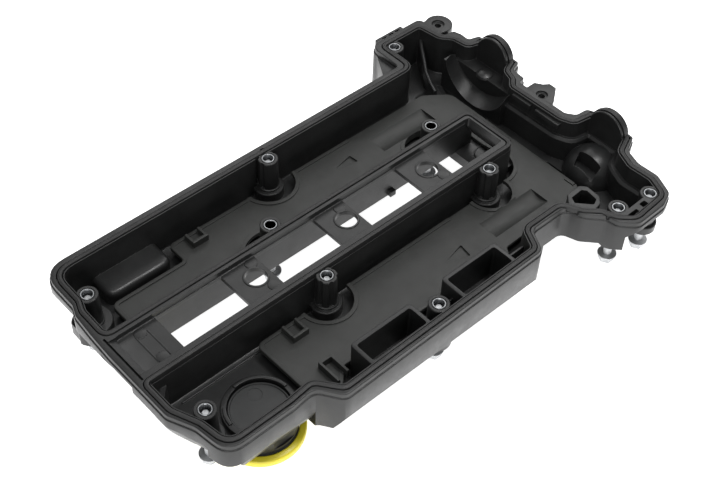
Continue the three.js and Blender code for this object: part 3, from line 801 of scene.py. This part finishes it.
def baffle():
    """The plate with its raised rim, collars, cam troughs, ramps and clips."""
    plate = prism(outline(PLATE, steps=8), BAFFLE_BOTTOM, BAFFLE_TOP, top=0.6)
    rim = prism(outline(PLATE, steps=8), BAFFLE_BOTTOM, BAFFLE_TOP + 0.9, top=0.8)
    inner = prism(outline(PLATE, -3.0, steps=8), BAFFLE_BOTTOM - 3, BAFFLE_TOP + 4)
    ahead = box(250, 360, -70, 130, -40, 0)
    rim = combine(rim, [("DIFFERENCE", [inner, ahead])])
    collars = []
    for outer, bore in zip(plate_holes(2.8, BAFFLE_BOTTOM, BAFFLE_TOP + 0.9),
                           plate_holes(-2, BAFFLE_BOTTOM - 3, BAFFLE_TOP + 4)):
        collars.append(combine(outer, [("DIFFERENCE", [bore])]))
    limit = prism(outline(PLATE, steps=8), BAFFLE_BOTTOM - 1, BAFFLE_TOP + 6)
    collar = combine(collars[0], [("UNION", collars[1:]), ("INTERSECT", [limit])])
    backs = [box(261, 319, y - 10, y + 10, -30.6, BAFFLE_BOTTOM + 0.4, corner=2)
             for y in TROUGH_Y]
    troughs = [barrel(263, 317, y, BAFFLE_TOP + TROUGH_R - TROUGH_DEPTH, TROUGH_R,
                      count=120, soft=0.3)
               for y in TROUGH_Y]
    slit = [box(342.4, 343.2, -44.2, -35, -40, 0), box(342.4, 348, -44.2, -43.4, -40, 0)]
    clips = [
        box(97, 99, 86, 97, BAFFLE_TOP - 1, -20.6, top=0.3),
        box(107.6, 109.6, 86, 97, BAFFLE_TOP - 1, -20.6, top=0.3),
        box(97, 109.6, 86, 88.4, BAFFLE_TOP - 1, -20, top=0.3),
        box(95.4, 97.4, -20.6, -9, BAFFLE_TOP - 1, -20.6, top=0.3),
        box(106, 108, -20.6, -9, BAFFLE_TOP - 1, -20.6, top=0.3),
        box(95.4, 108, -22, -19.6, BAFFLE_TOP - 1, -20, top=0.3),
        box(94, 95.8, -66, -46.8, BAFFLE_TOP - 1, -19.6, top=0.3),
        box(103.4, 105.2, -64, -46.8, BAFFLE_TOP - 1, -19.6, top=0.3),
        box(94, 105.2, -48.6, -46.8, BAFFLE_TOP - 1, -19.6, top=0.3),
    ]
    holes = plate_holes(0, BAFFLE_BOTTOM - 3, BAFFLE_TOP + 4)
    return combine(plate, [("UNION", [rim, collar] + backs),
                           ("DIFFERENCE", holes + troughs + ramps() + slit),
                           ("UNION", clips)])


finish_piece(baffle(), "visual_baffle", BAFFLE, "cover", ["baffle_plate"])

# ------------------------------------------------------------------ sleeves, bolts, cap


def spun(name, profile, x, y, count=48):
    """A turned piece from a closed profile of radius and height."""
    bm = bmesh.new()
    rows = []
    for r, z in profile:
        if r < 1e-6:
            rows.append([bm.verts.new((x, y, z))])
            continue
        rows.append([bm.verts.new((x + r * math.cos(t), y + r * math.sin(t), z))
                     for t in (2 * math.pi * k / count for k in range(count))])
    closed = profile[0][0] > 1e-6
    pairs = list(zip(rows, rows[1:] + (rows[:1] if closed else [])))
    for a, b in pairs:
        for i in range(count):
            j = (i + 1) % count
            if len(a) == 1 and len(b) == 1:
                continue
            if len(a) == 1:
                bm.faces.new((a[0], b[i], b[j]))
            elif len(b) == 1:
                bm.faces.new((a[i], a[j], b[0]))
            else:
                bm.faces.new((a[i], a[j], b[j], b[i]))
    return new_object(name, bm)


def sleeve(x, y):
    """A steel sleeve with a rounded top edge."""
    low = SEAT_Z
    return spun("sleeve", [(3.6, low), (4.4, low), (4.6, low + 0.2), (4.6, -0.4),
                           (4.35, -0.12), (3.85, -0.12), (3.6, -0.5)], x, y)


def bolt(x, y):
    """A captive flange bolt: hexagon head, flange, plain shank and threaded end."""
    top = SEAT_Z - BOLT_DROP
    tip = top + BOLT_LENGTH
    shank = [(0, top - 7), (4.2, top - 7), (4.6, top - 6.6), (4.6, top - 2.2),
             (6.3, top - 2.2), (6.9, top - 1.6), (7.0, top - 1.0), (6.8, top - 0.6),
             (4.6, top), (3.0, top + 0.2)]
    z = top + 22
    shank.append((3.0, z))
    while z < tip - 2:
        shank += [(2.55, z + 0.3), (3.0, z + 0.65), (3.0, z + 0.8)]
        z += 1.0
    shank += [(2.4, tip - 0.5), (1.9, tip), (0, tip)]
    body = spun("bolt", shank, x, y, 40)
    hexagon = prism(ring_points(x, y, 5.75, 6), top - 7, top - 1.8, bottom=0.5)
    return combine(body, [("UNION", [hexagon])])


for key, (bx, by) in BOLTS.items():
    finish_piece(sleeve(bx, by), "visual_sleeve_" + key, SLEEVE_STEEL, "cover",
                 ["bolt_sleeve_" + key])
    finish_piece(bolt(bx, by), "visual_bolt_" + key, BOLT_STEEL, "bolt_" + key,
                 ["captive_bolt_" + key])


def cap_body():
    """Plug, lid and grip bar of the filler cap."""
    x, y = CAP
    plug = spun("plug", [(0, -54), (24.2, -54), (24.6, -53.6), (24.6, -47.6), (24.2, -47.3),
                         (20.4, -46.6), (20.4, -31.9), (19.9, -31.4), (19.2, -31.4),
                         (18.6, -32.2), (0, -32.2)], x, y, 88)
    grip = box(x - 18, x + 18, y - 4, y + 4, -61, -53, corner=3)
    mark = post(x + 4.6, y + 10.8, 4.8, -32.5, -30, count=40)
    return combine(plug, [("UNION", [grip]), ("DIFFERENCE", [mark])])


def cap_ring():
    """The coloured outer ring, with grip notches along its lower edge."""
    x, y = CAP
    ring = spun("ring", [(24.9, -53.4), (28.8, -53.4), (29.4, -52.8), (29.6, -49.4),
                         (29.3, -48.2), (28.6, -47.7), (25.4, -47.2), (24.9, -47.6)],
                x, y, 120)
    tools = []
    for k in range(24):
        a = 2 * math.pi * (k + 0.5) / 24
        tools.append(post(x + 30.6 * math.cos(a), y + 30.6 * math.sin(a), 1.5, -60, -50.6,
                          count=12))
    return combine(ring, [("DIFFERENCE", tools)])


def cap_seal():
    """The rubber ring between cap and neck."""
    return spun("seal", [(21.3, -46.3), (22.0, -46.6), (23.6, -46.6), (24.2, -46.3),
                         (24.2, -45.6), (23.6, -45.3), (21.9, -45.3), (21.3, -45.6)],
                *CAP, 88)


finish_piece(cap_body(), "visual_cap_body", CAP_BLACK, "cap", ["filler_cap_body"])
finish_piece(cap_ring(), "visual_cap_ring", CAP_YELLOW, "cap", ["filler_cap_ring"],
             angle=45)
finish_piece(cap_seal(), "visual_cap_seal", SEAL_BLACK, "cap_seal", ["filler_cap_seal"])

# ------------------------------------------------------------------ stage, light, camera


def studio():
    """A wide pale floor just below the object."""
    bm = bmesh.new()
    rows = []
    for x in range(-6, 7):
        rows.append([bm.verts.new((x, y, -0.0006)) for y in range(-6, 7)])
    for a, b in zip(rows, rows[1:]):
        for i in range(12):
            bm.faces.new((a[i], b[i], b[i + 1], a[i + 1]))
    floor = new_object("floor", bm)
    material, tree, shader, coords = node_material("pale_floor")
    tone = ramp(tree, noise(tree, coords, 3, 2).outputs["Fac"],
                [(0.3, 0.93), (0.7, 0.95)])
    tree.links.new(tone.outputs["Color"], shader.inputs["Base Color"])
    tree.links.new(tone.outputs["Color"], shader.inputs["Emission Color"])
    shader.inputs["Emission Strength"].default_value = 1.0
    shader.inputs["Roughness"].default_value = 0.9
    shader.inputs["Specular IOR Level"].default_value = 0.1
    floor.data.materials.append(material)


def area_light(name, place, aim, size, power, tint=(1, 1, 1)):
    data = bpy.data.lights.new(name, "AREA")
    data.shape = "RECTANGLE"
    data.size = size[0]
    data.size_y = size[1]
    data.energy = power
    data.color = tint
    light = bpy.data.objects.new(name, data)
    bpy.context.scene.collection.objects.link(light)
    light.location = place
    direction = Vector(aim) - Vector(place)
    light.rotation_euler = direction.to_track_quat("-Z", "Y").to_euler()
    return light


def world_light(strength):
    world = bpy.data.worlds.new("studio")
    bpy.context.scene.world = world
    world.use_nodes = True
    background = world.node_tree.nodes["Background"]
    background.inputs["Color"].default_value = (1, 1, 1, 1)
    background.inputs["Strength"].default_value = strength


studio()
world_light(0.3)
area_light("back_softbox", (0.8, 1.0, 1.2), (0.05, 0, 0.05), (1.3, 0.9), 6)
area_light("right_softbox", (1.15, 0.32, 1.02), (0.15, 0, 0.05), (0.5, 0.8), 2.5)
area_light("left_softbox", (-0.46, -0.15, 1.45), (0, 0, 0.05), (0.5, 0.5), 4)
area_light("overhead", (0.37, -0.26, 1.4), (0.16, 0.03, 0.03), (0.36, 0.36), 8)
area_light("front_fill", (-0.75, -0.75, 0.35), (-0.1, -0.1, 0.0), (0.6, 0.4), 3)
bpy.context.scene.view_settings.view_transform = "Standard"

camera_data = bpy.data.cameras.new("camera")
camera_data.sensor_width = 36
camera_data.lens = 63.59
camera_data.clip_start = 0.01
camera = bpy.data.objects.new("camera", camera_data)
bpy.context.scene.collection.objects.link(camera)
heading = math.radians(44.19)
dip = math.radians(47.37)
ahead = Vector((math.sin(heading) * math.cos(dip), math.cos(heading) * math.cos(dip),
                -math.sin(dip)))
level = Vector((math.cos(heading), -math.sin(heading), 0))
tilt = Matrix.Rotation(math.radians(-2.534), 3, ahead)
right = tilt @ level
over = right.cross(ahead)
turned = Matrix((right, over, -ahead)).transposed().to_4x4()
camera.matrix_world = Matrix.Translation(DATUM + Vector((-0.22897, -0.41212, 0.62561))) @ turned
bpy.context.scene.camera = camera
